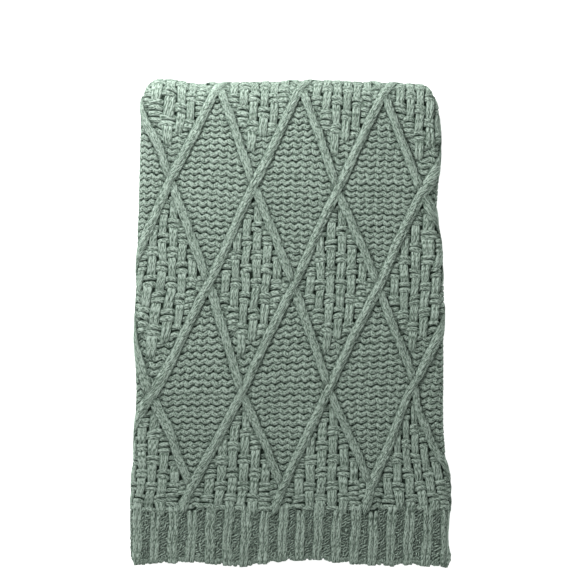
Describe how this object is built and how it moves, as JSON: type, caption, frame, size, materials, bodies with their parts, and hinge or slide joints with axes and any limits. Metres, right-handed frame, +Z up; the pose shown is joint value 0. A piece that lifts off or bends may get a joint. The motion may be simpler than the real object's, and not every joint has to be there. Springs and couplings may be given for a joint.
{
  "type": "folded chenille baby blanket",
  "caption": "Thick knitted chenille baby blanket, folded in thirds and then in half, with a raised diamond cable lattice and ribbed ends.",
  "frame": {"origin": "centre of the folded pack's footprint, on the surface it lies on", "axes": "+Y towards the fold in half, away from the ribbed ends; +X to the right seen from above; +Z up through the layers"},
  "size_m": [0.3338, 0.506, 0.0513],
  "materials": {
    "chenille": "soft matte sage green chenille yarn"
  },
  "bodies": {
    "root": {"blanket": "chenille"}
  },
  "joints": []
}
